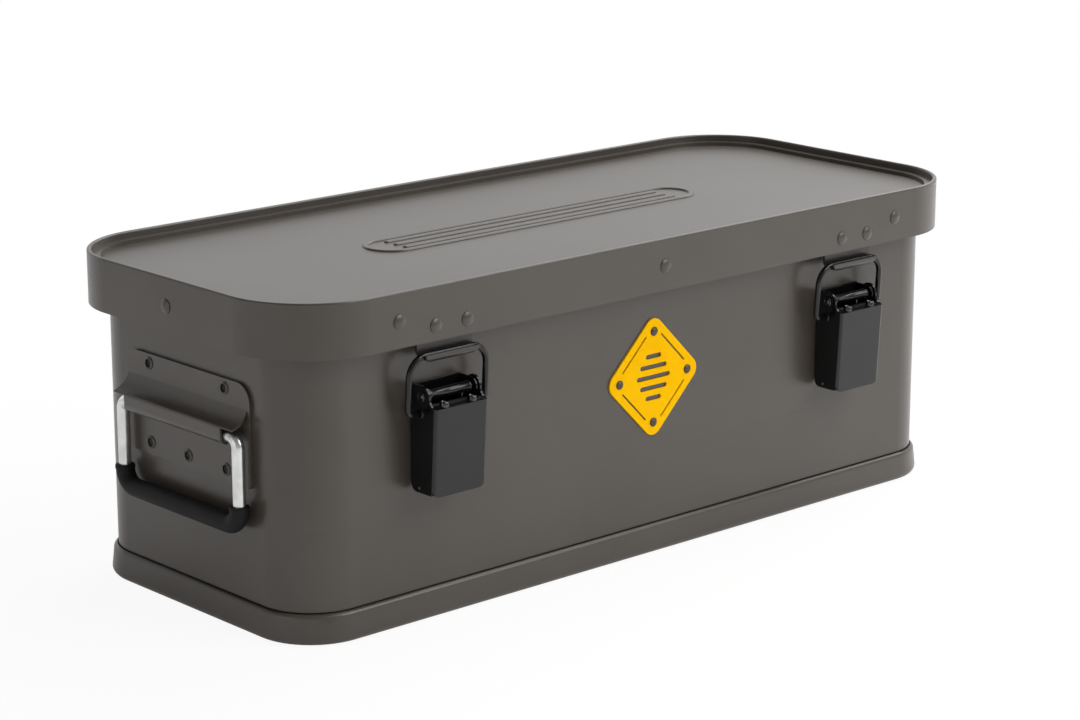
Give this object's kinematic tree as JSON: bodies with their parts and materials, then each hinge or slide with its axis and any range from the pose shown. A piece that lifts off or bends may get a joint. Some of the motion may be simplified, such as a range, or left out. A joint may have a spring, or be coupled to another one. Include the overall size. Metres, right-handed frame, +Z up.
{
  "type": "battery safe box",
  "caption": "Rigid lined metal box for storing batteries, with a hinged framed lid, front draw latches and drop handles on the ends.",
  "frame": {"origin": "centre of the flat underside of the base pan", "axes": "+X along the length, -Y out of the latch side, +Z up"},
  "size_m": [0.6034, 0.267, 0.2146],
  "materials": {
    "powder_coat": "fine textured satin powder coat",
    "bare_aluminium": "mill finish",
    "latch_enamel": "gloss black stoved enamel",
    "dark_rivet": "blackened steel",
    "zinc_wire": "bright zinc plated wire",
    "grip_rubber": "smooth moulded rubber",
    "sign_enamel": "satin orange enamel",
    "fire_board": "pressed mineral fibre board",
    "fire_blanket": "needled mineral fibre blanket",
    "seal_silicone": "soft silicone"
  },
  "bodies": {
    "box": {"base_pan": "powder_coat", "body_shell": "powder_coat", "body_rim": "bare_aluminium", "liner_floor": "fire_board", "liner_wall": "fire_blanket", "sign_plate": "sign_enamel", "sign_rivets": "dark_rivet", "handle_plate_left": "powder_coat", "handle_rivets_left": "powder_coat", "latch_base_left": "latch_enamel", "latch_axle_left": "dark_rivet", "latch_rivets_left": "dark_rivet", "hinge_leaf_lower_left": "latch_enamel", "hinge_pin_left": "dark_rivet", "hinge_rivets_lower_left": "dark_rivet", "handle_plate_right": "powder_coat", "handle_rivets_right": "powder_coat", "latch_base_right": "latch_enamel", "latch_axle_right": "dark_rivet", "latch_rivets_right": "dark_rivet", "hinge_leaf_lower_right": "latch_enamel", "hinge_pin_right": "dark_rivet", "hinge_rivets_lower_right": "dark_rivet"},
    "lid": {"lid_band": "powder_coat", "lid_panel": "powder_coat", "lid_frame": "bare_aluminium", "lid_seal": "seal_silicone", "lid_liner": "fire_board", "lid_rivets": "powder_coat", "catch_left": "powder_coat", "catch_rivets_left": "powder_coat", "hinge_leaf_upper_left": "latch_enamel", "hinge_rivets_upper_left": "dark_rivet", "catch_right": "powder_coat", "catch_rivets_right": "powder_coat", "hinge_leaf_upper_right": "latch_enamel", "hinge_rivets_upper_right": "dark_rivet"},
    "lever_left": {"latch_lever_left": "latch_enamel"},
    "bail_left": {"latch_bail_left": "latch_enamel"},
    "handle_left": {"handle_bail_left": "zinc_wire", "handle_grip_left": "grip_rubber"},
    "lever_right": {"latch_lever_right": "latch_enamel"},
    "bail_right": {"latch_bail_right": "latch_enamel"},
    "handle_right": {"handle_bail_right": "zinc_wire", "handle_grip_right": "grip_rubber"}
  },
  "joints": [
    {"name": "lid_hinge", "type": "hinge", "parent": "box", "child": "lid", "pos_m": [0, 0.129, 0.178], "axis": [-1, 0, 0], "range_deg": [0, 100]},
    {"name": "lever_left_pivot", "type": "hinge", "parent": "box", "child": "lever_left", "pos_m": [-0.1795, -0.121, 0.1463], "axis": [-1, 0, 0], "range_deg": [0, 80]},
    {"name": "bail_left_pivot", "type": "hinge", "parent": "lever_left", "child": "bail_left", "pos_m": [-0.1795, -0.1193, 0.1355], "axis": [-1, 0, 0], "range_deg": [-60, 0]},
    {"name": "handle_left_swing", "type": "hinge", "parent": "box", "child": "handle_left", "pos_m": [-0.2929, 0, 0.125], "axis": [0, 1, 0], "range_deg": [0, 90]},
    {"name": "lever_right_pivot", "type": "hinge", "parent": "box", "child": "lever_right", "pos_m": [0.1795, -0.121, 0.1463], "axis": [-1, 0, 0], "range_deg": [0, 80]},
    {"name": "bail_right_pivot", "type": "hinge", "parent": "lever_right", "child": "bail_right", "pos_m": [0.1795, -0.1193, 0.1355], "axis": [-1, 0, 0], "range_deg": [-60, 0]},
    {"name": "handle_right_swing", "type": "hinge", "parent": "box", "child": "handle_right", "pos_m": [0.2929, 0, 0.125], "axis": [0, -1, 0], "range_deg": [0, 90]}
  ],
  "couplings": [
    {"joint": "bail_left_pivot", "follows": "lever_left_pivot", "ratio": -0.74},
    {"joint": "bail_right_pivot", "follows": "lever_right_pivot", "ratio": -0.74}
  ]
}
